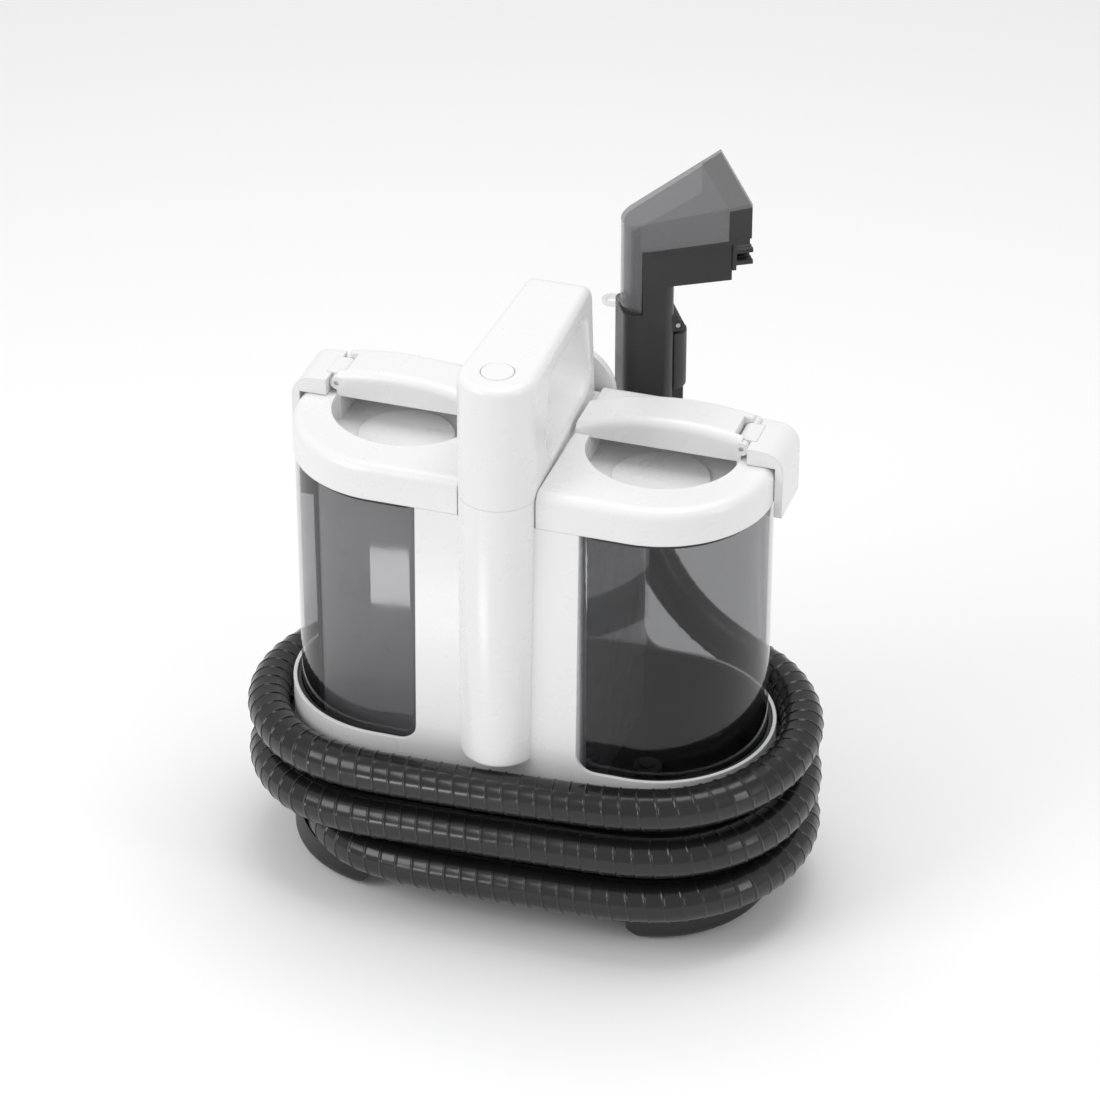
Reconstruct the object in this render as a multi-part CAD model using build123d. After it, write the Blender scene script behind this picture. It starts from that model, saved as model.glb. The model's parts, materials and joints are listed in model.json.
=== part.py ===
from build123d import *
import math
import os

# Two-tank spot carpet cleaner with its hose wound round the base and its hand tool docked behind.
# Millimetres. X runs along the body, the front faces -Y, Z is up, and the origin is on the floor
# under the middle of the body.

# ---- body plan: a stadium, two straight sides joined by two round ends
END_X = 81.0            # centre of each round end
TUB_R = 76.0            # outside of the base tub
SKIRT_R = 74.0          # outside of the white skirt
TANK_R = 68.5           # outside of a tank
LID_R = 69.5            # outside of a lid
WALL = 2.5              # moulded wall

# ---- heights
SKID_Z = 1.5            # underside of the skids, which stand on rubber pads
RECESS_Z = 11.5         # underside of the tub between the skids
TUB_FLOOR = 15.0        # top of the tub's floor
TUB_TOP = 92.0
TRAY_Z = 73.5           # underside of the tank tray
SILL_Z = 121.0          # lower edge of the tank windows
SKIRT_TOP = 133.0
TANK_Z = 76.3           # underside of a tank
TANK_TOP = 287.0        # tank rim, underside of a lid, top of the central box
LID_TOP = 310.0
COLUMN_TOP = 305.6      # seam between the column and the handle
HANDLE_TOP = 387.0

# ---- central box and column between the tanks
BOX_X = 51.5
BOX_Y = 69.5
COLUMN_X = 24.0
BULGE_Y = -65.0         # centre of the half-round front of the column
BULGE_R = 24.0
HANDLE_BACK = (72.0, 19.3)  # depth and half width where the handle's taper ends
BULGE_Z = 122.0

# ---- lids
POCKET_FLOOR = 292.0
BAR_Y = (7.0, 42.0)
BAR_UNDER = 308.5
LATCH_Y = (2.0, 40.0)
KNUCKLE_Y = (12.3, 32.2)
PIVOT_X = 128.5
PIVOT_Z = 317.0

# ---- hose, wound on a line of this radius round each end
HOSE_R = 13.5
HOSE_BORE = 11.0
WIND_R = 90.0
STEP_DEG = 30.0         # turn at each route point round an end
SIDE_X = 27.0           # route points on the straight sides
SIDE_BOW = 1.5          # how far those points stand out from the line
ENTRY_AT = (-52.0, -10.0)   # centre of the bend that leads out of the tub
ENTRY_R = 80.0
ENTRY_START = 42.0      # route length before that bend
CUFF_LENGTH = 12.0

# ---- hand tool, modelled upright round its own axis, then turned and set behind the body
TOOL_X = 36.5
TOOL_Y = 110.0
TOOL_Z = 252.5          # foot of the wand
TOOL_TURN = 31.0
WAND = 32.0
WAND_CUFF = 26.5
ARM_Z = (113.0, 137.4)
LEG_Z = 95.0
NOSE_R = 15.0
MOUTH_X = 57.0
MOUTH_HALF = 37.5
FAN_UNDER = (137.0, 13.4)   # height at the nose and slope in degrees, underside of the fan
FAN_TOP = (156.0, 17.0)     # the same for its top
FRAME_X = 44.0
TRIGGER_X = 18.5
TRIGGER_Z = 83.0        # trigger pivot


# ---------------------------------------------------------------- helpers
def block(x_span, y_span, z_span):
    """Box given by its low and high coordinates."""
    spans = (x_span, y_span, z_span)
    middle = [(low + high) / 2 for low, high in spans]
    size = [high - low for low, high in spans]
    return Pos(*middle) * Box(*size)


def post(x, y, radius, low, high):
    """Upright cylinder."""
    return Pos(x, y, (low + high) / 2) * Cylinder(radius, high - low)


def rod(start, direction, radius, length):
    """Cylinder from a point along any direction."""
    plane = Plane(origin=start, z_dir=direction)
    return plane * Cylinder(radius, length, align=(Align.CENTER, Align.CENTER, Align.MIN))


def stadium(radius, low, high):
    """Upright slab with the plan of the body."""
    return extrude(Pos(0, 0, low) * SlotCenterToCenter(2 * END_X, 2 * radius), high - low)


def side_plate(points, half_width):
    """Outline in Y and Z, as thick as given each side of the middle."""
    return extrude(Plane.YZ * make_face(Polyline(*points, close=True)), half_width, both=True)


def front_plate(outline, y_span):
    """Outline in X and Z, between two depths."""
    low, high = y_span
    return extrude(Plane.XZ.offset(-high) * outline, high - low)


def tube(points, outer, inner, radius):
    """Round tube along straight runs with one bend radius."""
    path = FilletPolyline(*points, radius=radius)
    start = Plane(origin=path @ 0, z_dir=path % 0)
    ring = start * (Circle(outer) - Circle(inner))
    return sweep(ring, path=path)


def tapered_plan(radius, length, half_width):
    """Round nose at the origin, with straight sides tangent to it that end at the given width."""
    slope = math.atan2(half_width, length)
    angle = slope + math.acos(radius / math.hypot(length, half_width))
    x, y = radius * math.cos(angle), radius * math.sin(angle)
    corners = ((x, y), (length, half_width), (length, -half_width), (x, -y))
    return Circle(radius) + make_face(Polyline(*corners, close=True))


# ---------------------------------------------------------------- base
def skid_gap():
    """What is missing between the skids: flat in the middle, sloped at both ends."""
    foot, slope, clear = 95.0, RECESS_Z - SKID_Z, 41.0
    points = [
        (-foot - 6.5, -5.0),
        (foot + 6.5, -5.0),
        (foot, SKID_Z),
        (foot - slope, RECESS_Z),
        (foot - slope, clear),
        (-foot + slope, clear),
        (-foot + slope, RECESS_Z),
        (-foot, SKID_Z),
    ]
    return front_plate(make_face(Polyline(*points, close=True)), (-100, 100))


def pad_places():
    return [(side * (END_X + 27), y) for side in (-1, 1) for y in (-38, 38)]


def base_screw_places():
    return [(x, y) for x in (-56, 56) for y in (-40, 40)]


def base_tub():
    core = stadium(TUB_R, RECESS_Z, TUB_TOP)
    core = fillet(core.faces().sort_by(Axis.Z)[0].edges(), 8)
    skids = stadium(TUB_R, SKID_Z, 40)
    skids = fillet(skids.faces().sort_by(Axis.Z)[0].edges(), 9)
    tub = core + (skids - skid_gap())
    tub -= stadium(TUB_R - 3, TUB_FLOOR, TUB_TOP + 1)
    wells = stadium(64, 4.5, TUB_FLOOR + 1) - block((-98, 98), (-80, 80), (0, 20))
    tub -= wells
    ledge = stadium(TUB_R - 3, 70, TRAY_Z) - stadium(TUB_R - 6, 69, TRAY_Z + 1)
    tub += ledge
    for x, y in base_screw_places():
        tub += post(x, y, 4.5, TUB_FLOOR - 0.5, 24)
    tub -= block((-48, 48), (-34, 34), (RECESS_Z - 1, TUB_FLOOR + 1))
    for x, y in base_screw_places():
        tub -= post(x, y, 1.55, RECESS_Z - 1, 22)
    for x, y in pad_places():
        tub -= post(x, y, 8.1, SKID_Z - 1, SKID_Z + 1.7)
    for x in (-32, 32):
        tub += post(x, -56, 4, 6.5, RECESS_Z + 1)
    tub -= rod((-60, TUB_R - 6, 24), (0, 1, 0), 5.1, 10)
    return tub - hose_mouth()


def base_plate():
    plate = block((-62, 62), (-46, 46), (RECESS_Z - 2, RECESS_Z))
    plate = fillet(plate.edges().filter_by(Axis.Z), 8)
    for x, y in base_screw_places():
        plate -= post(x, y, 1.6, RECESS_Z - 3, RECESS_Z + 1)
    return plate


def base_screws():
    screws = [post(x, y, 3.2, 8, 9.5) + post(x, y, 1.5, 9, 21) for x, y in base_screw_places()]
    return Compound(screws)


def foot_pads():
    pads = []
    for x, y in pad_places():
        pad = post(x, y, 8, 0, SKID_Z + 1.7)
        pads.append(fillet(pad.edges().sort_by(Axis.Z)[0], 0.8))
    return Compound(pads)


def power_inlet():
    gland = rod((-60, TUB_R - 5, 24), (0, 1, 0), 5.0, 9)
    gland += rod((-60, TUB_R, 24), (0, 1, 0), 8.0, 2)
    gland += Plane(origin=(-60, TUB_R + 2, 24), z_dir=(0, 1, 0)) * Cone(
        6.5, 4.5, 10, align=(Align.CENTER, Align.CENTER, Align.MIN)
    )
    return gland - rod((-60, TUB_R - 6, 24), (0, 1, 0), 3.2, 30)


# ---------------------------------------------------------------- hose
def turn_height(way):
    """Height of the hose line after some quarters of its winding; 0 is the first front middle."""
    heights = [40.0, 47.0, 56.0, 65.0, 73.6, 79.6, 90.0, 101.0, 106.5, 117.5, 118.2]
    whole = min(int(way), len(heights) - 2)
    return heights[whole] + (way - whole) * (heights[whole + 1] - heights[whole])


def hose_route():
    """Points of the hose's route: out of the tub, round the base, and up to the tool."""
    spread = 1 / math.cos(math.radians(STEP_DEG / 2))
    points = []
    for angle, height in ((75, 36.0), (45, 36.8), (15, 38.0)):
        turn, far = math.radians(angle), ENTRY_R * spread
        x, y = ENTRY_AT
        points.append((x - far * math.sin(turn), y - far * math.cos(turn), height))
    first = points[0]
    reach = WIND_R * spread
    points.insert(0, (first[0], first[1] + ENTRY_START, first[2]))
    side = WIND_R + SIDE_BOW
    points.append((SIDE_X, -side, turn_height(0.15)))
    straight = 2 * END_X
    quarter = straight / 2 + math.pi * WIND_R / 2
    for half in range(5):
        sign = 1 if half % 2 == 0 else -1
        for step in range(6):
            angle = STEP_DEG * (step + 0.5) - 90
            if half == 4 and angle > 50:
                break
            along = END_X + WIND_R * math.radians(angle + 90)
            turn = math.radians(angle)
            x = sign * (END_X + reach * math.cos(turn))
            y = sign * reach * math.sin(turn)
            points.append((x, y, turn_height(2 * half + along / quarter)))
        if half < 4:
            for x in (SIDE_X, -SIDE_X):
                along = 2 * quarter - x
                points.append((sign * x, sign * side, turn_height(2 * half + along / quarter)))
    points += [
        (109.0, 89.0, 118.0),
        (75.0, 100.0, 132.0),
        (49.5, 107.0, 158.5),
        (TOOL_X, TOOL_Y, 191.0),
        (TOOL_X, TOOL_Y, TOOL_Z - WAND_CUFF),
    ]
    return points


def bend_radii(points):
    """The largest arc that the runs beside each corner leave room for."""
    radii = []
    for before, here, after in zip(points, points[1:], points[2:]):
        into = Vector(*here) - Vector(*before)
        out = Vector(*after) - Vector(*here)
        half_turn = math.radians(into.get_angle(out)) / 2
        radii.append(0.45 * min(into.length, out.length) / math.tan(half_turn))
    return radii


def hose_line(points):
    return FilletPolyline(*points, radius=bend_radii(points))


def hose():
    points = hose_route()
    line = hose_line(points)
    start = Plane(origin=line @ 0, z_dir=line % 0)
    tube_solid = sweep(start * (Circle(HOSE_R) - Circle(HOSE_BORE)), path=line)
    section = math.pi * (HOSE_R**2 - HOSE_BORE**2)
    print("hose length", round(line.length), "volume / (section x length)",
          round(tube_solid.volume / (section * line.length), 4))
    print("hose radii", [round(r) for r in bend_radii(points)])
    return tube_solid


def hose_mouth():
    """The scoop in the tub's wall that the hose comes out through."""
    line = hose_line(hose_route()[:6])
    start = Plane(origin=line @ 0, z_dir=line % 0)
    return sweep(start * Circle(HOSE_R + 2.0), path=line)


def hose_outlet_cuff():
    x, y, z = hose_route()[0]
    cuff = rod((x, y, z), (0, 1, 0), HOSE_R + 1.0, CUFF_LENGTH)
    cuff -= rod((x, y - 1, z), (0, 1, 0), HOSE_BORE, CUFF_LENGTH - 2)
    return cuff - rod((x, y - 1, z), (0, 1, 0), 9.0, CUFF_LENGTH + 5)


def suction_riser():
    x, y, z = hose_route()[0]
    points = [
        (x, y + CUFF_LENGTH, z),
        (x, 34, z),
        (x + 12, 46, z),
        (-36, 46, z),
        (-36, 46, 262),
        (-BOX_X + WALL, 46, 262),
    ]
    return tube(points, 9.0, 7.5, 9.5)


# ---------------------------------------------------------------- trays, housing, rear panel
def tank_tray():
    tray = stadium(71.5, TRAY_Z, 120) - stadium(69, TRAY_Z + WALL, 121)
    tray -= block((-BOX_X - 0.2, BOX_X + 0.2), (-80, 80), (91.8, 130))
    tray -= block((-46, 46), (-60, 60), (TRAY_Z - 1, TRAY_Z + WALL + 1))
    return tray - post(75, 0, 7, TRAY_Z - 1, TRAY_Z + WALL + 1)


def window_cut(side):
    """Everything outside a tank window's frame, seen from the front."""
    inner, outer = side * BOX_X, side * 200
    outline = make_face(
        Polyline((inner, SILL_Z), (outer, SILL_Z), (outer, 320), (inner, 320), close=True)
    )
    corner = outline.vertices().sort_by(lambda v: abs(v.X) + v.Y)[0]
    return front_plate(fillet(corner, 12), (-100, 100))


def housing_shell():
    skirt = stadium(SKIRT_R, TUB_TOP, SKIRT_TOP) - stadium(71.7, TUB_TOP - 1, SKIRT_TOP + 1)
    skirt -= window_cut(-1)
    skirt -= window_cut(1)
    outside = [
        (-SKIRT_R, TUB_TOP),
        (SKIRT_R, TUB_TOP),
        (SKIRT_R, 118),
        (BOX_Y, 140),
        (BOX_Y, TANK_TOP),
        (-BOX_Y, TANK_TOP),
        (-SKIRT_R, SKIRT_TOP),
    ]
    inside = [
        (-71.5, TUB_TOP - 1),
        (71.5, TUB_TOP - 1),
        (71.5, 117.5),
        (67, 139.5),
        (67, TANK_TOP - WALL),
        (-67, TANK_TOP - WALL),
        (-71.5, 132.5),
    ]
    shell = skirt + side_plate(outside, BOX_X)
    shell += block((-BOX_X, BOX_X), (-68.8, 68.8), (TRAY_Z + WALL + 0.2, TUB_TOP + 1))
    bulge = post(0, BULGE_Y, BULGE_R, BULGE_Z, COLUMN_TOP)
    bulge = fillet(bulge.edges().sort_by(Axis.Z)[0], 3)
    shell += bulge & block((-COLUMN_X, COLUMN_X), (-95, 0), (100, 320))
    shell += block((-COLUMN_X, COLUMN_X), (BULGE_Y, 66), (TANK_TOP - 5, COLUMN_TOP))
    shell -= side_plate(inside, BOX_X - WALL)
    shell -= block((-BOX_X + WALL, BOX_X - WALL), (-66, 66), (70, TUB_TOP + 1))
    core = post(0, BULGE_Y, BULGE_R - WALL, BULGE_Z + 3, COLUMN_TOP - WALL)
    shell -= core & block((-21.5, 21.5), (-95, 0), (100, 320))
    shell -= block((-21.5, 21.5), (BULGE_Y, 63), (TANK_TOP - 10, COLUMN_TOP - WALL))
    shell -= block((-8, 8), (-76, -56), (COLUMN_TOP - 5, COLUMN_TOP + 1))
    shell -= block((-26, 26), (60, 75), (160, 226))
    for x, z in vent_screw_places():
        shell -= rod((x, 60, z), (0, 1, 0), 1.55, 20)
    for y, radius in ((0, 11), (46, 7.5)):
        shell -= rod((-BOX_X - 1, y, 262), (1, 0, 0), radius, 8)
    return shell


def vent_screw_places():
    return [(x, z) for x in (-30, 30) for z in (155, 231)]


def rear_panel():
    panel = block((-34, 34), (BOX_Y, BOX_Y + 3), (151, 235))
    panel = fillet(panel.edges().filter_by(Axis.Y), 5)
    for row in range(8):
        low = 163.0 + 8.0 * row
        panel -= block((-25, 25), (BOX_Y - 1, BOX_Y + 4), (low, low + 4))
    for x, z in vent_screw_places():
        panel -= rod((x, BOX_Y - 1, z), (0, 1, 0), 1.6, 6)
    return panel


def vent_screws():
    screws = []
    for x, z in vent_screw_places():
        shank = rod((x, 62, z), (0, 1, 0), 1.5, BOX_Y + 3.2 - 62)
        screws.append(shank + rod((x, BOX_Y + 3, z), (0, 1, 0), 2.8, 1.6))
    return Compound(screws)


def exhaust_filter():
    body = block((-27, 27), (59, 66.5), (159, 227))
    for row in range(10):
        low = 162.0 + 6.5 * row
        body -= block((-24, 24), (58, 61), (low, low + 3))
    return body


# ---------------------------------------------------------------- handle and button
def on_rim(edge):
    """True for the handle's outer edges, apart from those that cross its back or its foot."""
    box = edge.bounding_box()
    upright = box.size.Z > 20
    across = box.size.Y < 1 and not upright
    return not across and (box.min.Z > HANDLE_TOP - 25 or (upright and box.max.Y > 50))


def on_finger_hole(edge):
    box = edge.bounding_box()
    inside = box.min.Y > -45 and box.max.Y < 54 and box.min.Z > 315 and box.max.Z < 372
    return inside and abs(edge.center().X) > 5


def handle():
    side = [(-95, COLUMN_TOP), (66, COLUMN_TOP), (58, HANDLE_TOP), (-95, HANDLE_TOP)]
    profile = make_face(Polyline(*side, close=True))
    back_top = profile.vertices().sort_by(lambda v: v.X + v.Y)[-1]
    grip = extrude(Plane.YZ * fillet(back_top, 13), 30, both=True)
    back, half_width = HANDLE_BACK
    plan = Pos(0, BULGE_Y) * Rot(0, 0, 90) * tapered_plan(BULGE_R, back - BULGE_Y, half_width)
    grip &= extrude(Pos(0, 0, 300) * plan, 100)
    grip = fillet([edge for edge in grip.edges() if on_rim(edge)], 5)
    opening = make_face(
        Polyline((-44, 316), (53, 316), (42, 371), (-37, 371), close=True)
    )
    opening = fillet(opening.vertices(), 14)
    grip -= extrude(Plane.YZ * opening, 40, both=True)
    grip = fillet([edge for edge in grip.edges() if on_finger_hole(edge)], 3.5)
    hollow = post(0, BULGE_Y, BULGE_R - 3, 300, HANDLE_TOP - 4)
    grip -= hollow & block((-30, 30), (-90, -50), (290, 390))
    return grip - post(0, -65, 10.3, 370, 400)


def power_button():
    cap = post(0, -65, 10, 380.5, HANDLE_TOP + 0.5)
    cap = fillet(cap.edges().sort_by(Axis.Z)[-1], 0.8)
    return cap + post(0, -65, 12.5, 380.5, 382.8) + post(0, -65, 2, 377, 381)


def button_switch():
    board = block((-13, 13), (-79, -50.1), (358, 360))
    return board + block((-6, 6), (-71, -59), (360, 375.6))


def control_board():
    board = block((-24, 24), (-60, -58.4), (196, 270))
    for x in (-20, 20):
        for z in (201, 265):
            board += rod((x, -67, z), (0, 1, 0), 3, 8)
    board += block((-18, -2), (-58.6, -46), (240, 262))
    return board + block((4, 20), (-58.6, -52), (214, 230))


# ---------------------------------------------------------------- suction unit and pump
def motor_mount():
    mount = block((-BOX_X + WALL, BOX_X - WALL), (-34, 34), (112, 118))
    return mount - post(0, 0, 18, 111, 119)


def vacuum_motor():
    can = post(0, 0, 30, 118, 165)
    for index in range(12):
        turn = math.radians(30 * index)
        can -= post(31 * math.cos(turn), 31 * math.sin(turn), 3, 124, 158)
    return can + post(0, 0, 4, 164, 193) + post(0, 0, 12, 108, 119)


def fan_housing():
    drum = post(0, 0, 44, 165, 201) - post(0, 0, 41, 168, 198)
    drum -= post(0, 0, 7, 164, 169)
    drum -= post(0, 0, 15, 197, 202)
    return drum - block((-10, 10), (30, 50), (174, 192))


def impeller():
    wheel = post(0, 0, 37, 170, 172) + post(0, 0, 9, 171, 192)
    for index in range(9):
        blade = block((8, 36), (-0.8, 0.8), (171.5, 190))
        wheel += Rot(0, 0, 40 * index) * blade
    return wheel - post(0, 0, 4.05, 169, 193)


def air_duct():
    points = [(0, 0, 201), (0, 0, 262), (-BOX_X + WALL, 0, 262)]
    duct = tube(points, 13, 11, 20)
    return duct + (post(0, 0, 20, 201, 204) - post(0, 0, 11, 200, 205))


def water_pump():
    pump = block((62, 112), (-20, 20), (TUB_FLOOR + 4, 42))
    pump = fillet(pump.edges().filter_by(Axis.Z), 4)
    pump += rod((66, 0, 44), (1, 0, 0), 14, 42)
    for x in (66, 108):
        pump += block((x - 3, x + 3), (-26, 26), (TUB_FLOOR, TUB_FLOOR + 4.5))
    return pump


def water_line():
    points = [(62, 5, 27), (-92, 5, 27), (-104, 16, 36), (-118.5, 16, 36)]
    feed = post(75, 0, 4, 57.5, 74) - post(75, 0, 2.5, 57, 75)
    return Compound([tube(points, 4, 2.5, 6), feed])


# ---------------------------------------------------------------- tanks
def tank_plan(radius, inner_x, corner):
    plan = SlotCenterToCenter(2 * END_X, 2 * radius)
    plan &= Pos((inner_x + 200) / 2, 0) * Rectangle(200 - inner_x, 200)
    return fillet(plan.vertices().group_by(Axis.X)[0], corner)


def tank_shell():
    outside = extrude(Pos(0, 0, TANK_Z) * tank_plan(TANK_R, 52.5, 4), TANK_TOP - TANK_Z)
    outside = fillet(outside.faces().sort_by(Axis.Z)[0].edges(), 2)
    inside = extrude(
        Pos(0, 0, TANK_Z + WALL) * tank_plan(TANK_R - WALL, 52.5 + WALL, 1.5), TANK_TOP
    )
    return outside - inside


def clean_tank():
    return tank_shell() - post(75, 0, 5, TANK_Z - 1, TANK_Z + WALL + 1)


def clean_valve():
    valve = post(75, 0, 4.9, 75.5, 84) - post(75, 0, 2.5, 75, 83)
    valve += post(75, 0, 9, TANK_Z + WALL, 82) - post(75, 0, 4.5, 78, 82.5)
    return valve


def dirty_tank():
    tank = mirror(tank_shell(), about=Plane.YZ)
    for y, radius in ((0, 11), (46, 7.5)):
        tank -= rod((-52.5 - 8, y, 262), (1, 0, 0), radius, 9)
    return tank


def dirty_baffle():
    plate = block((-130, -56), (-26, -24), (TANK_Z + WALL, 279))
    return plate + block((-58, -56), (-26, 20), (TANK_Z + WALL, 240))


def baffle_trim():
    strip = block((-132.5, -130), (-27, -23), (TANK_Z + WALL, 270))
    return strip + block((-141, -130), (-26.5, -23.5), (256, 276))


def float_cage():
    cage = post(-98, 12, 14, 216, 281) - post(-98, 12, 12, 218, 279)
    for index in range(4):
        slot = block((6, 20), (-3.5, 3.5), (224, 272))
        cage -= Pos(-98, 12) * Rot(0, 0, 45 + 90 * index) * slot
    return cage


def float_ball():
    ball = post(-98, 12, 11.6, 218.3, 246)
    return fillet(ball.edges().sort_by(Axis.Z)[-1], 3)


# ---------------------------------------------------------------- lids and latches
def bar_top(x):
    """Height of the carry bar's arched top."""
    return 327.5 - 12.0 * ((x - 92.0) / 67.5) ** 2


def bar_outline():
    start, end = 24.5, 140.0
    middle = (start + end) / 2
    arch = ThreePointArc((start, bar_top(start)), (middle, bar_top(middle)), (end, bar_top(end)))
    rest = Polyline(
        (end, bar_top(end)), (end, LID_TOP - 4), (start, LID_TOP - 4), (start, bar_top(start))
    )
    return make_face(arch + rest)


def carry_bar():
    bar = front_plate(bar_outline(), BAR_Y)
    long_edges = bar.edges().filter_by(GeomType.CIRCLE)
    bar = fillet(long_edges, 6)
    bar -= block((PIVOT_X, 150), (0, 60), (300, 340))
    bar -= block((PIVOT_X - 5.3, 150), (KNUCKLE_Y[0] - 0.3, KNUCKLE_Y[1] + 0.3), (300, 340))
    bar += pivot_drum(4.3, BAR_Y) - block(
        (PIVOT_X - 5.3, 150), (KNUCKLE_Y[0] - 0.3, KNUCKLE_Y[1] + 0.3), (300, 340)
    )
    return bar


def pivot_drum(radius, y_span):
    return rod((PIVOT_X, y_span[0], PIVOT_Z), (0, 1, 0), radius, y_span[1] - y_span[0])


def lid():
    cap = stadium(LID_R, TANK_TOP, LID_TOP)
    cap = fillet(cap.faces().sort_by(Axis.Z)[-1].edges(), 7)
    cap &= block((24.5, 160), (-80, 80), (280, 320))
    cap += carry_bar()
    front = Pos(END_X, 4) * Ellipse(47, 45)
    front &= Pos(END_X, BAR_Y[0] - 50) * Rectangle(120, 100)
    cap -= extrude(Pos(0, 0, POCKET_FLOOR) * front, 60)
    under = block((34, 126), (BAR_Y[0] - 12, 46), (POCKET_FLOOR, BAR_UNDER))
    cap -= fillet(under.edges().filter_by(Axis.Z), 8)
    lip = extrude(Pos(0, 0, TANK_TOP - 6) * tank_plan(62.5, 59, 4), 6.5)
    cap += lip - extrude(Pos(0, 0, TANK_TOP - 7) * tank_plan(60, 61.5, 2), 7)
    return cap - pivot_drum(1.5, BAR_Y)


def lid_seal():
    outside = extrude(Pos(0, 0, TANK_TOP - 4) * tank_plan(65.6, 55.5, 5), 4)
    return outside - extrude(Pos(0, 0, TANK_TOP - 5) * tank_plan(62.5, 59, 4), 6)


def lid_disc():
    disc = post(END_X, 0, 30, POCKET_FLOOR, POCKET_FLOOR + 1.6)
    return fillet(disc.edges().sort_by(Axis.Z)[-1], 0.8)


def latch():
    y_low, y_high = LATCH_Y
    points = [
        (PIVOT_X, PIVOT_Z + 4.3),
        (156, PIVOT_Z + 3.0),
        (156, 277),
        (151.0, 277),
        (151.0, LID_TOP + 0.4),
        (PIVOT_X, LID_TOP + 0.4),
    ]
    outline = make_face(Polyline(*points, close=True))
    outer = outline.vertices().sort_by(lambda v: v.X + v.Y)[-1]
    outline = fillet(outer, 13)
    body = front_plate(outline, LATCH_Y)
    body -= pivot_drum(4.9, (y_low - 1, y_high + 1))
    body -= block((PIVOT_X - 10, PIVOT_X), (y_low - 1, y_high + 1), (300, 330))
    body -= block((PIVOT_X - 1, PIVOT_X + 4.9), (y_low - 1, KNUCKLE_Y[0]), (300, 330))
    body -= block((PIVOT_X - 1, PIVOT_X + 4.9), (KNUCKLE_Y[1], y_high + 1), (300, 330))
    body += pivot_drum(4.6, KNUCKLE_Y)
    body += block((PIVOT_X, PIVOT_X + 8), KNUCKLE_Y, (PIVOT_Z - 4.6, PIVOT_Z + 4.3))
    return body - pivot_drum(1.55, (0, 60))


def latch_pin():
    return pivot_drum(1.5, (BAR_Y[0] + 1, BAR_Y[1] - 1))


# ---------------------------------------------------------------- tool and dock
def set_tool(shape):
    """Turns a piece of the hand tool and sets it in its dock."""
    return Pos(TOOL_X, TOOL_Y, TOOL_Z) * Rot(0, 0, TOOL_TURN) * shape


def tool_dock():
    plate = block((-30, 30), (BOX_Y + 0.3, BOX_Y + 5.5), (240, 302))
    plate += rod((0, BOX_Y + 0.3, 302), (0, 1, 0), 30, 5.2)
    cradle = block((-20.5, 20.5), (-20.5, 15), (-4, 20))
    cradle = fillet(cradle.edges().filter_by(Axis.Z), 3)
    cradle -= block((-16.3, 16.3), (-16.3, 30), (0, 25))
    cradle -= block((-15.1, 15.1), (-15.1, 30), (-5, 1))
    dock = plate + set_tool(cradle)
    arm = block((6, 40), (BOX_Y + 2, 97), (TOOL_Z - 4, TOOL_Z + 12))
    arm -= set_tool(block((-20, 40), (-20, 40), (-10, 30)))
    return dock + arm


def wand_outline(size, corner):
    return RectangleRounded(size, size, corner)


def fan_plan(grow):
    """Plan of the fan nozzle: a round nose that widens to the mouth."""
    return tapered_plan(NOSE_R + grow, MOUTH_X, MOUTH_HALF + grow)


def fan_slab(grow, under, top):
    """The fan's plan between two sloping planes, each a height at the nose and a slope."""
    slab = extrude(Pos(0, 0, 80) * fan_plan(grow), 120)
    for (height, slope), side in ((under, -1), (top, 1)):
        cutter = Pos(0, 0, side * 60) * Box(400, 400, 120)
        slab -= Pos(-7, 0, height) * Rot(0, -slope, 0) * cutter
    return slab


def tool_body():
    wand = extrude(wand_outline(WAND, 7), ARM_Z[1])
    wand -= block((-30, -5), (-30, 30), (LEG_Z, 200))
    arm = block((-5, 51), (-16, 16), ARM_Z)
    floor = fan_slab(0, (FAN_UNDER[0] - 3, FAN_UNDER[1]), FAN_UNDER)
    floor &= block((-5, 56), (-60, 60), (100, 200))
    body = wand + arm + floor
    body -= post(-3, 0, HOSE_BORE, -1, LEG_Z + 1)
    body -= block((-6, 12), (-9, 9), (LEG_Z + 4, 200)) & block((-6, 60), (-20, 20), (90, 200))
    body -= block((9.5, 30), (-11, 11), (20, TRIGGER_Z + 6))
    for y in (-10.5, 10.5):
        lug = block((14, TRIGGER_X), (y - 1.8, y + 1.8), (TRIGGER_Z - 4, TRIGGER_Z + 6))
        lug += rod((TRIGGER_X, y - 1.8, TRIGGER_Z), (0, 1, 0), 4, 3.6)
        body += lug
    return body - rod((TRIGGER_X, -13, TRIGGER_Z), (0, 1, 0), 1.5, 26)


def trigger():
    lever = post(17, 0, 10, 36, 76) & block((16.4, 30), (-20, 20), (0, 100))
    lever = fillet(lever.edges().filter_by(GeomType.CIRCLE), 1.5)
    lever += block((16.4, 24), (-6, 6), (27, 37))
    lever += block((16.4, 21.5), (-6, 6), (75, TRIGGER_Z))
    lever += rod((TRIGGER_X, -8, TRIGGER_Z), (0, 1, 0), 4, 16)
    return lever - rod((TRIGGER_X, -13, TRIGGER_Z), (0, 1, 0), 1.55, 26)


def trigger_pin():
    return rod((TRIGGER_X, -12.2, TRIGGER_Z), (0, 1, 0), 1.5, 24.4)


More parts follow.
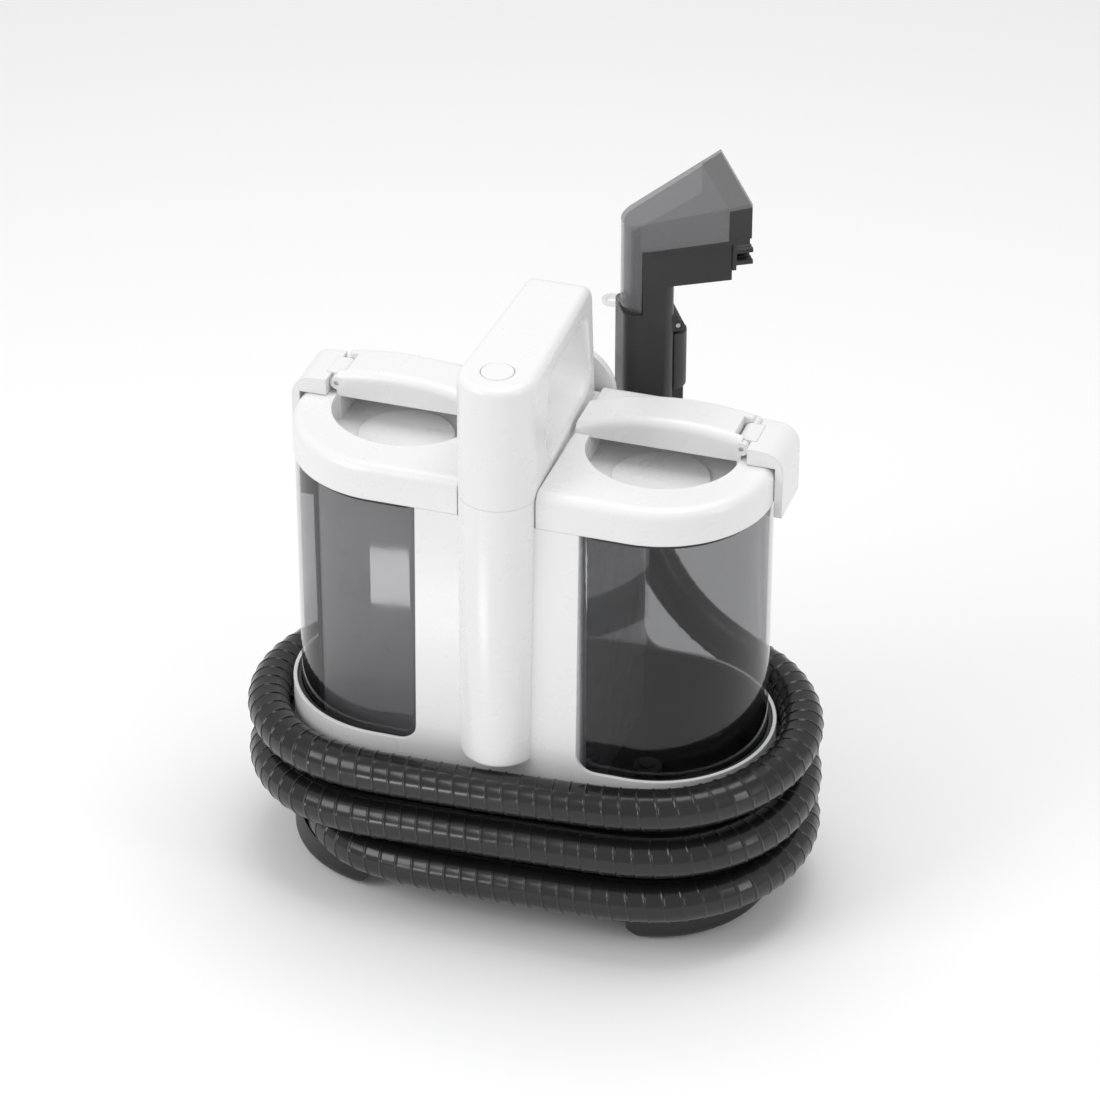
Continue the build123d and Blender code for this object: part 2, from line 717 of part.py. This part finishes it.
def tool_cover():
    shell = fan_slab(0, FAN_UNDER, FAN_TOP)
    shell -= fan_slab(-2, (FAN_UNDER[0] - 5, FAN_UNDER[1]), (FAN_TOP[0] - 2.2, FAN_TOP[1]))
    shell -= block((FRAME_X, 70), (-60, 60), (100, 200)) & fan_slab(
        10, (FAN_UNDER[0] - 9, FAN_UNDER[1]), (FAN_TOP[0] - 2.2, FAN_TOP[1])
    )
    leg = post(0, 0, NOSE_R, LEG_Z, FAN_UNDER[0] + 8) - post(0, 0, NOSE_R - 2, LEG_Z - 1, 200)
    leg &= block((-20, -5.3), (-20, 20), (0, 200))
    return shell + leg


def cover_tab():
    ring = post(-20.5, 0, 6.5, 98, 100.5) - post(-20.5, 0, 4, 97, 101)
    return ring - post(0, 0, NOSE_R, 90, 110)


def mouth_frame():
    frame = fan_slab(0, FAN_UNDER, (FAN_TOP[0] - 2.2, FAN_TOP[1]))
    frame &= block((FRAME_X, 80), (-60, 60), (100, 200))
    slot = block((FRAME_X - 1, 60), (-32, 32), (152, 161))
    return frame - slot


def tool_brush():
    head = block((51, 53.5), (-17, 17), (120, 137))
    for height in (124.2, 132.2):
        for column in range(9):
            y = -15.0 + 3.75 * column
            head += rod((53, y, height), (1, 0, 0), 1.8, 11)
        head += block((53, 61), (-16.5, 16.5), (height - 1.2, height + 1.2))
    return head


def spray_nozzle():
    nozzle = rod((51, 0, 116.5), (1, 0, 0), 3, 5)
    return nozzle + rod((51, 0, 116.5), (1, 0, 0), 2, 8)


def hose_tool_cuff():
    cuff = post(0, 0, 14.5, -WAND_CUFF, 0)
    cuff -= post(0, 0, HOSE_BORE, -WAND_CUFF - 1, 1)
    for index in range(4):
        low = -WAND_CUFF + 3 + 4 * index
        cuff -= post(0, 0, 16, low, low + 1.4) - post(0, 0, 13.8, low - 1, low + 3)
    return cuff


# ---------------------------------------------------------------- every node
def mirrored(shape):
    return mirror(shape, about=Plane.YZ)


def all_nodes():
    nodes = {
        "base_tub": base_tub(),
        "base_plate": base_plate(),
        "base_screws": base_screws(),
        "foot_pads": foot_pads(),
        "power_inlet": power_inlet(),
        "tank_tray": tank_tray(),
        "housing_shell": housing_shell(),
        "rear_panel": rear_panel(),
        "vent_screws": vent_screws(),
        "exhaust_filter": exhaust_filter(),
        "handle": handle(),
        "power_button": power_button(),
        "button_switch": button_switch(),
        "control_board": control_board(),
        "motor_mount": motor_mount(),
        "vacuum_motor": vacuum_motor(),
        "fan_housing": fan_housing(),
        "impeller": impeller(),
        "air_duct": air_duct(),
        "suction_riser": suction_riser(),
        "water_pump": water_pump(),
        "water_line": water_line(),
        "clean_tank": clean_tank(),
        "clean_valve": clean_valve(),
        "dirty_tank": dirty_tank(),
        "dirty_baffle": dirty_baffle(),
        "baffle_trim": baffle_trim(),
        "float_cage": float_cage(),
        "float_ball": float_ball(),
        "hose": hose(),
        "hose_outlet_cuff": hose_outlet_cuff(),
        "tool_dock": tool_dock(),
    }
    lid_pieces = {
        "lid": lid(),
        "lid_seal": lid_seal(),
        "lid_disc": lid_disc(),
        "latch": latch(),
        "latch_pin": latch_pin(),
    }
    for name, shape in lid_pieces.items():
        nodes["clean_" + name] = shape
        nodes["dirty_" + name] = mirrored(shape)
    tool_pieces = {
        "tool_body": tool_body(),
        "tool_cover": tool_cover(),
        "cover_tab": cover_tab(),
        "mouth_frame": mouth_frame(),
        "tool_brush": tool_brush(),
        "spray_nozzle": spray_nozzle(),
        "trigger": trigger(),
        "trigger_pin": trigger_pin(),
        "hose_tool_cuff": hose_tool_cuff(),
    }
    for name, shape in tool_pieces.items():
        nodes[name] = set_tool(shape)
    return nodes


os.makedirs("parts", exist_ok=True)
for node, shape in all_nodes().items():
    export_step(shape, f"parts/{node}.step")
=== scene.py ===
import json
import math

import bmesh
import bpy
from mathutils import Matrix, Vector


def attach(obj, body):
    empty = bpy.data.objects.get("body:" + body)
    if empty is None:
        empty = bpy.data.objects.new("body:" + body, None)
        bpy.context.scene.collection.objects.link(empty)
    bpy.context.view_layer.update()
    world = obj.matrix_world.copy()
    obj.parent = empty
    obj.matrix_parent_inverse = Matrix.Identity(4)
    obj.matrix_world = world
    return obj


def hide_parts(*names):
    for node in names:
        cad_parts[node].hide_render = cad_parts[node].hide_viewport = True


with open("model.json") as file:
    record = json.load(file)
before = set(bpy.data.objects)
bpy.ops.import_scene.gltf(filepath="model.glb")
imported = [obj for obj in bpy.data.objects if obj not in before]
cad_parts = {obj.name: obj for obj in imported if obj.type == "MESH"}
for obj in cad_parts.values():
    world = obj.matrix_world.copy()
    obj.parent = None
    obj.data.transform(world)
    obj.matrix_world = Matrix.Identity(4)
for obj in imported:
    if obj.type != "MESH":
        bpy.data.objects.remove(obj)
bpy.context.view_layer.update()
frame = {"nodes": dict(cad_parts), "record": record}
nodes = frame["nodes"]


# ---------------------------------------------------------------- camera, floor and light
def aim(obj, at):
    """Turns a camera or a lamp so that it looks at a point."""
    obj.rotation_euler = (Vector(at) - obj.location).to_track_quat("-Z", "Y").to_euler()


def make_camera():
    """A long lens, seen from the right of the front and from above."""
    azimuth, elevation = math.radians(18.0), math.radians(32.0)
    distance = 2.75
    target = Vector((0.011, 0.0, 0.228))
    data = bpy.data.cameras.new("camera")
    data.lens = 147.0
    data.sensor_width = 36.0
    data.clip_end = 30.0
    camera = bpy.data.objects.new("camera", data)
    bpy.context.scene.collection.objects.link(camera)
    flat = math.cos(elevation)
    away = Vector((math.sin(azimuth) * flat, -math.cos(azimuth) * flat, math.sin(elevation)))
    camera.location = target + distance * away
    aim(camera, target)
    bpy.context.scene.camera = camera


def lamp(name, place, at, size, power):
    """A white rectangular lamp of a size in metres and a power in watts, unseen by the camera."""
    data = bpy.data.lights.new(name, "AREA")
    data.shape = "RECTANGLE"
    data.size, data.size_y = size
    data.energy = power
    obj = bpy.data.objects.new(name, data)
    bpy.context.scene.collection.objects.link(obj)
    obj.location = place
    obj.visible_camera = False
    aim(obj, at)
    return obj


def make_floor():
    """A plain pale floor, a hair under the pads."""
    half, height = 12.0, -0.0002
    corners = [(-half, -half), (half, -half), (half, half), (-half, half)]
    mesh = bpy.data.meshes.new("floor")
    mesh.from_pydata([(x, y, height) for x, y in corners], [], [(0, 1, 2, 3)])
    floor = bpy.data.objects.new("floor", mesh)
    bpy.context.scene.collection.objects.link(floor)
    mat, _, shader = new_material("floor_paper")
    shader.inputs["Base Color"].default_value = (0.95, 0.95, 0.95, 1)
    shader.inputs["Roughness"].default_value = 0.9
    shader.inputs["Specular IOR Level"].default_value = 0.1
    mesh.materials.append(mat)


def make_light():
    """A white world, three soft lamps, and a small card placed for the left tank to reflect."""
    world = bpy.data.worlds.new("studio")
    world.use_nodes = True
    background = world.node_tree.nodes["Background"]
    background.inputs["Color"].default_value = (1.0, 1.0, 1.0, 1)
    background.inputs["Strength"].default_value = 0.64
    bpy.context.scene.world = world
    bpy.context.scene.view_settings.view_transform = "Standard"

    middle = (0.0, 0.0, 0.2)
    lamp("key", (-1.2, -1.3, 1.3), middle, (1.0, 1.0), 13.0)
    lamp("top", (0.1, 0.3, 2.0), middle, (1.4, 1.1), 14.0)
    lamp("side", (1.9, -0.5, 0.9), middle, (0.35, 1.2), 5.0)
    card = lamp("card", (-0.108, -0.278, 0.0965), (-0.0755, -0.0683, 0.229), (0.11, 0.036), 0.09)
    card.visible_diffuse = False


# ---------------------------------------------------------------- materials
def new_material(name):
    """A material with a Principled shader alone; returns it, its tree and the shader."""
    mat = bpy.data.materials.new(name)
    mat.use_nodes = True
    tree = mat.node_tree
    tree.nodes.clear()
    out = tree.nodes.new("ShaderNodeOutputMaterial")
    shader = tree.nodes.new("ShaderNodeBsdfPrincipled")
    tree.links.new(shader.outputs["BSDF"], out.inputs["Surface"])
    return mat, tree, shader


def noise(tree, scale, detail=2.0, stretch=None, kind="ShaderNodeTexNoise"):
    """A noise field in metres of the object, stretched along an axis if asked."""
    place = tree.nodes.new("ShaderNodeTexCoord").outputs["Object"]
    if stretch:
        mapping = tree.nodes.new("ShaderNodeMapping")
        mapping.inputs["Scale"].default_value = stretch
        tree.links.new(place, mapping.inputs["Vector"])
        place = mapping.outputs["Vector"]
    node = tree.nodes.new(kind)
    node.inputs["Scale"].default_value = scale
    if "Detail" in node.inputs:
        node.inputs["Detail"].default_value = detail
    tree.links.new(place, node.inputs["Vector"])
    return node.outputs[0]


def spread(tree, value, low, high, start=0.35, end=0.65):
    """Maps a field from one span to another."""
    node = tree.nodes.new("ShaderNodeMapRange")
    for index, number in enumerate((start, end, low, high)):
        node.inputs[index + 1].default_value = number
    tree.links.new(value, node.inputs[0])
    return node.outputs[0]


def mixed(tree, share, first, second):
    """Two colours, mixed by a field."""
    node = tree.nodes.new("ShaderNodeMix")
    node.data_type = "RGBA"
    tree.links.new(share, node.inputs[0])
    for socket, colour in ((node.inputs[6], first), (node.inputs[7], second)):
        if isinstance(colour, tuple):
            socket.default_value = (*colour, 1)
        else:
            tree.links.new(colour, socket)
    return node.outputs[2]


def maths(tree, operation, first, second):
    """Clamped arithmetic on two fields or numbers; a third input keeps its default."""
    node = tree.nodes.new("ShaderNodeMath")
    node.operation = operation
    node.use_clamp = True
    for socket, value in zip(node.inputs, (first, second)):
        if isinstance(value, (int, float)):
            socket.default_value = value
        else:
            tree.links.new(value, socket)
    return node.outputs[0]


def rounded(tree, radius):
    """Normal of edges rounded by a radius, and how much of an edge each place is."""
    bevel = tree.nodes.new("ShaderNodeBevel")
    bevel.samples = 6
    bevel.inputs["Radius"].default_value = radius
    flat = tree.nodes.new("ShaderNodeNewGeometry")
    dot = tree.nodes.new("ShaderNodeVectorMath")
    dot.operation = "DOT_PRODUCT"
    tree.links.new(bevel.outputs[0], dot.inputs[0])
    tree.links.new(flat.outputs["Normal"], dot.inputs[1])
    edge = spread(tree, dot.outputs["Value"], 1.0, 0.0, 0.75, 0.94)
    return bevel.outputs[0], edge


def bump(tree, height, strength, distance, normal=None):
    """Normal of a surface raised by a field, on top of another normal if one is given."""
    node = tree.nodes.new("ShaderNodeBump")
    node.inputs["Strength"].default_value = strength
    node.inputs["Distance"].default_value = distance
    tree.links.new(height, node.inputs["Height"])
    if normal is not None:
        tree.links.new(normal, node.inputs["Normal"])
    return node.outputs[0]


def plastic(name, dark, light, rough, grain, depth, edge_radius=0.0008, worn=None):
    """Moulded plastic: slow drift of colour and gloss, fine mould grain, rounded edges that wear."""
    mat, tree, shader = new_material(name)
    drift = spread(tree, noise(tree, 14.0, 3.0), 0.0, 1.0)
    normal, edge = rounded(tree, edge_radius)
    colour = mixed(tree, drift, dark, light)
    scuffs = spread(tree, noise(tree, 160.0, 4.0), 0.0, 1.0, 0.48, 0.7)
    wear = maths(tree, "MULTIPLY", edge, maths(tree, "MULTIPLY_ADD", scuffs, 0.6))
    if worn:
        colour = mixed(tree, wear, colour, worn)
    tree.links.new(colour, shader.inputs["Base Color"])
    handled = spread(tree, noise(tree, 45.0, 5.0), rough[0], rough[1], 0.3, 0.7)
    gloss = maths(tree, "ADD", handled, maths(tree, "MULTIPLY", wear, 0.12))
    tree.links.new(gloss, shader.inputs["Roughness"])
    grained = bump(tree, noise(tree, grain, 3.0), 0.25, depth, normal)
    tree.links.new(grained, shader.inputs["Normal"])
    return mat


def clear_plastic(name, passed, film, film_share, rough=(0.03, 0.09)):
    """Clear tinted plastic: what each face of a wall lets through, a haze, and outside gloss."""
    mat, tree, shader = new_material(name)
    out = tree.nodes["Material Output"]
    drift = spread(tree, noise(tree, 9.0, 2.0), 0.0, 1.0)
    shader.inputs["Base Color"].default_value = (*film, 1)
    handled = spread(tree, noise(tree, 38.0, 5.0), rough[0], rough[1], 0.3, 0.7)
    tree.links.new(handled, shader.inputs["Roughness"])
    see = tree.nodes.new("ShaderNodeBsdfTransparent")
    thick = tuple(0.97 * c for c in passed)
    tree.links.new(mixed(tree, drift, passed, thick), see.inputs["Color"])
    gloss = tree.nodes.new("ShaderNodeBsdfGlossy")
    gloss.inputs["Color"].default_value = (1.0, 1.0, 1.0, 1)
    tree.links.new(handled, gloss.inputs["Roughness"])
    fresnel = tree.nodes.new("ShaderNodeFresnel")
    fresnel.inputs["IOR"].default_value = 1.46
    side = tree.nodes.new("ShaderNodeNewGeometry")
    outer = maths(tree, "SUBTRACT", 1.0, side.outputs["Backfacing"])
    mirror = maths(tree, "MULTIPLY", fresnel.outputs[0], outer)
    wave = bump(tree, noise(tree, 30.0, 2.0), 0.05, 0.0005)
    tree.links.new(wave, gloss.inputs["Normal"])
    tree.links.new(wave, shader.inputs["Normal"])
    haze = tree.nodes.new("ShaderNodeMixShader")
    haze.inputs[0].default_value = film_share
    tree.links.new(see.outputs[0], haze.inputs[1])
    tree.links.new(shader.outputs[0], haze.inputs[2])
    skin = tree.nodes.new("ShaderNodeMixShader")
    tree.links.new(mirror, skin.inputs[0])
    tree.links.new(haze.outputs[0], skin.inputs[1])
    tree.links.new(gloss.outputs[0], skin.inputs[2])
    tree.links.new(skin.outputs[0], out.inputs["Surface"])
    return mat


def metal(name, colour, rough, stretch):
    """Bare metal with drawn or brushed lines and a few brighter rubbed edges."""
    mat, tree, shader = new_material(name)
    shader.inputs["Metallic"].default_value = 1.0
    lines = noise(tree, 900.0, 3.0, stretch)
    normal, edge = rounded(tree, 0.0003)
    bright = tuple(min(1.0, 1.3 * c) for c in colour)
    drift = spread(tree, noise(tree, 60.0, 3.0), 0.0, 0.6)
    dull = mixed(tree, drift, colour, tuple(0.8 * c for c in colour))
    tree.links.new(mixed(tree, edge, dull, bright), shader.inputs["Base Color"])
    tree.links.new(spread(tree, lines, rough[0], rough[1], 0.3, 0.7), shader.inputs["Roughness"])
    tree.links.new(bump(tree, lines, 0.2, 0.00005, normal), shader.inputs["Normal"])
    return mat


def foam(name, colour, shaded_pore_colour, pore_scale):
    """Foam: cells that rise away from the middle of each pore, with painted shade that darkens the
    colour towards each pore's sunken middle.
    """
    mat, tree, shader = new_material(name)
    cells = noise(tree, pore_scale, kind="ShaderNodeTexVoronoi")
    share = spread(tree, cells, 0.0, 1.0, 0.1, 0.55)
    # painted shade: the colour darkens towards the middle of each pore, where the bump sinks the
    # surface
    tree.links.new(mixed(tree, share, shaded_pore_colour, colour), shader.inputs["Base Color"])
    tree.links.new(spread(tree, cells, 0.95, 0.7, 0.1, 0.6), shader.inputs["Roughness"])
    tree.links.new(bump(tree, cells, 0.7, 0.0006), shader.inputs["Normal"])
    return mat


def circuit_board(name):
    """Green laminate: fine copper lines under lacquer, and a mottled weave."""
    mat, tree, shader = new_material(name)
    lines = noise(tree, 220.0, 1.0, (1.0, 1.0, 0.12))
    track = spread(tree, lines, 0.0, 1.0, 0.56, 0.6)
    weave = spread(tree, noise(tree, 900.0, 2.0), 0.0, 1.0)
    base = mixed(tree, weave, (0.01, 0.08, 0.035), (0.015, 0.11, 0.05))
    tree.links.new(mixed(tree, track, base, (0.05, 0.2, 0.08)), shader.inputs["Base Color"])
    tree.links.new(spread(tree, weave, 0.25, 0.4, 0.0, 1.0), shader.inputs["Roughness"])
    tree.links.new(bump(tree, track, 0.4, 0.0001), shader.inputs["Normal"])
    return mat


def make_materials():
    """One material for each slot of the record."""
    return {
        "white_shell": plastic(
            "white_shell", (0.80, 0.80, 0.803), (0.807, 0.807, 0.81), (0.26, 0.3), 1500.0, 0.00002,
            0.001,
        ),
        "black_shell": plastic(
            "black_shell", (0.012, 0.012, 0.013), (0.02, 0.02, 0.021), (0.36, 0.5), 2600.0, 0.00012,
            0.0008, (0.07, 0.07, 0.072),
        ),
        "tool_black": plastic(
            "tool_black", (0.017, 0.017, 0.019), (0.025, 0.025, 0.027), (0.34, 0.48), 2600.0,
            0.0001, 0.0008, (0.09, 0.09, 0.092),
        ),
        "hose_black": plastic(
            "hose_black", (0.008, 0.008, 0.0085), (0.013, 0.013, 0.0135), (0.17, 0.25), 500.0,
            0.00002, 0.0002,
        ),
        "rubber": plastic(
            "rubber", (0.014, 0.014, 0.014), (0.028, 0.028, 0.028), (0.7, 0.9), 1900.0, 0.0002,
            0.0006, (0.07, 0.07, 0.07),
        ),
        "inner_plastic": plastic(
            "inner_plastic", (0.04, 0.04, 0.043), (0.06, 0.06, 0.063), (0.4, 0.55), 2200.0, 0.0001,
            0.0006, (0.12, 0.12, 0.12),
        ),
        "steel": metal("steel", (0.56, 0.56, 0.58), (0.2, 0.42), (1.0, 1.0, 8.0)),
        "motor_can": metal("motor_can", (0.3, 0.31, 0.33), (0.25, 0.5), (0.08, 0.08, 1.0)),
        # the second colour of each foam is painted shade for the sunken middle of its pores
        "filter_foam": foam("filter_foam", (0.06, 0.06, 0.065), (0.008, 0.008, 0.008), 900.0),
        "float_foam": foam("float_foam", (0.66, 0.66, 0.62), (0.42, 0.42, 0.4), 1300.0),
        "circuit": circuit_board("circuit"),
        "smoked_tank": clear_plastic("smoked_tank", (0.72, 0.72, 0.73), (0.06, 0.06, 0.062), 0.03),
        "smoked_cover": clear_plastic(
            "smoked_cover", (0.68, 0.68, 0.69), (0.34, 0.34, 0.35), 0.3, (0.1, 0.2)
        ),
        "clear_tab": clear_plastic("clear_tab", (0.93, 0.93, 0.935), (0.7, 0.7, 0.71), 0.08),
    }


# ---------------------------------------------------------------- hose
def turn_height(way):
    """Height in millimetres after some quarters of the winding; 0 is the first front middle."""
    heights = [40.0, 47.0, 56.0, 65.0, 73.6, 79.6, 90.0, 101.0, 106.5, 117.5, 118.2]
    whole = min(int(way), len(heights) - 2)
    return heights[whole] + (way - whole) * (heights[whole + 1] - heights[whole])


def hose_route():
    """Points that steer the hose, in metres: out of the tub, round the base, up to the tool."""
    end_x, wind_r, step_deg, side_x = 81.0, 90.0, 30.0, 27.0
    entry_at, entry_r, entry_start = (-52.0, -10.0), 80.0, 42.0
    tool_x, tool_y, tool_z = 36.5, 110.0, 252.5
    cuff_depth = 26.5
    spread_out = 1 / math.cos(math.radians(step_deg / 2))
    points = []
    for angle, height in ((75, 36.0), (45, 36.8), (15, 38.0)):
        turn, far = math.radians(angle), entry_r * spread_out
        x, y = entry_at
        points.append((x - far * math.sin(turn), y - far * math.cos(turn), height))
    first = points[0]
    reach = wind_r * spread_out
    points.insert(0, (first[0], first[1] + entry_start, first[2]))
    side = wind_r + 1.5
    points.append((side_x, -side, turn_height(0.15)))
    quarter = end_x + math.pi * wind_r / 2
    for half in range(5):
        sign = 1 if half % 2 == 0 else -1
        for step in range(6):
            angle = step_deg * (step + 0.5) - 90
            if half == 4 and angle > 50:
                break
            along = end_x + wind_r * math.radians(angle + 90)
            turn = math.radians(angle)
            x = sign * (end_x + reach * math.cos(turn))
            y = sign * reach * math.sin(turn)
            points.append((x, y, turn_height(2 * half + along / quarter)))
        if half < 4:
            for x in (side_x, -side_x):
                along = 2 * quarter - x
                points.append((sign * x, sign * side, turn_height(2 * half + along / quarter)))
    points += [
        (109.0, 89.0, 118.0),
        (75.0, 100.0, 132.0),
        (49.5, 107.0, 158.5),
        (tool_x, tool_y, 191.0),
        (tool_x, tool_y, tool_z - cuff_depth),
    ]
    return [Vector(p) / 1000 for p in points]


def spline_points(route):
    """Points along the smooth spline that a route steers, read from the spline itself."""
    curve = bpy.data.curves.new("route", "CURVE")
    curve.dimensions = "3D"
    spline = curve.splines.new("NURBS")
    spline.points.add(len(route) - 1)
    for point, place in zip(spline.points, route):
        point.co = (*place, 1)
    spline.order_u = 3
    spline.use_endpoint_u = True
    spline.resolution_u = 24
    obj = bpy.data.objects.new("route", curve)
    bpy.context.scene.collection.objects.link(obj)
    bpy.context.view_layer.update()
    mesh = bpy.data.meshes.new_from_object(obj)
    points = [v.co.copy() for v in mesh.vertices]
    bpy.data.meshes.remove(mesh)
    bpy.data.objects.remove(obj)
    bpy.data.curves.remove(curve)
    return points


def along_line(points):
    """A line's length, and a function from distance to the place and two ways across."""
    lengths = [0.0]
    for a, b in zip(points, points[1:]):
        lengths.append(lengths[-1] + (b - a).length)
    ways = [(b - a).normalized() for a, b in zip(points, points[1:])]
    ways.append(ways[-1])
    across = Vector((0, 0, 1)).cross(ways[0]).normalized()
    sides = []
    for way in ways:
        across = (across - way * across.dot(way)).normalized()
        sides.append(across)

    def frame_at(distance):
        distance = min(max(distance, 0.0), lengths[-1])
        low, high = 0, len(lengths) - 1
        while high - low > 1:
            middle = (low + high) // 2
            low, high = (middle, high) if lengths[middle] <= distance else (low, middle)
        share = (distance - lengths[low]) / max(lengths[high] - lengths[low], 1e-9)
        way = ways[low].lerp(ways[high], share).normalized()
        side = sides[low].lerp(sides[high], share)
        side = (side - way * side.dot(way)).normalized()
        return points[low].lerp(points[high], share), side, way.cross(side)

    return lengths[-1], frame_at


def make_hose(materials):
    """Stretch hose: a thin skin between the turns of a helical rib."""
    line = spline_points(hose_route())
    length, frame_at = along_line(line)
    sides, pitch, skin, weld = 32, 0.0105, 0.01295, 0.000002
    # share of the pitch, height over the skin
    profile = (
        (0.0, 0.0), (0.03, 0.0004), (0.07, 0.0005), (0.11, 0.0004), (0.14, 0.0),
        (0.2, -0.00004), (0.5, 0.0), (0.94, -0.00004),
    )
    turns = int(length / pitch) + 1
    verts, faces = [], []
    for turn in range(-1, turns + 1):
        for share, proud in profile:
            for side in range(sides):
                angle = 2 * math.pi * side / sides
                place, out, up = frame_at((turn + share + side / sides) * pitch)
                reach = skin + proud
                verts.append(place + (out * math.cos(angle) + up * math.sin(angle)) * reach)
    rows, step = len(verts) // sides, len(profile)
    for row in range(rows - step - 1):
        for side in range(sides):
            a = row * sides + side
            b = a + 1 if side < sides - 1 else (row + step) * sides
            faces.append((a, b, b + sides, a + sides))
    mesh = bpy.data.meshes.new("suction_hose")
    mesh.from_pydata(verts, [], faces)
    work = bmesh.new()
    work.from_mesh(mesh)
    bmesh.ops.remove_doubles(work, verts=work.verts, dist=weld)
    bmesh.ops.recalc_face_normals(work, faces=work.faces)
    work.to_mesh(mesh)
    work.free()
    mesh.shade_smooth()
    mesh.materials.append(materials["hose_black"])
    obj = bpy.data.objects.new("suction_hose", mesh)
    bpy.context.scene.collection.objects.link(obj)
    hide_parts("hose")
    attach(obj, "housing")


# ---------------------------------------------------------------- putting it together
def dress_cad(materials):
    """Each CAD piece takes the material of its slot."""
    slots = {part["node"]: part["material_slot"] for part in frame["record"]["subparts"]}
    for name, obj in nodes.items():
        mat = materials[slots[name]]
        if not obj.material_slots:
            obj.data.materials.append(mat)
        for slot in obj.material_slots:
            slot.material = mat


make_camera()
make_floor()
make_light()
materials = make_materials()
make_hose(materials)
dress_cad(materials)
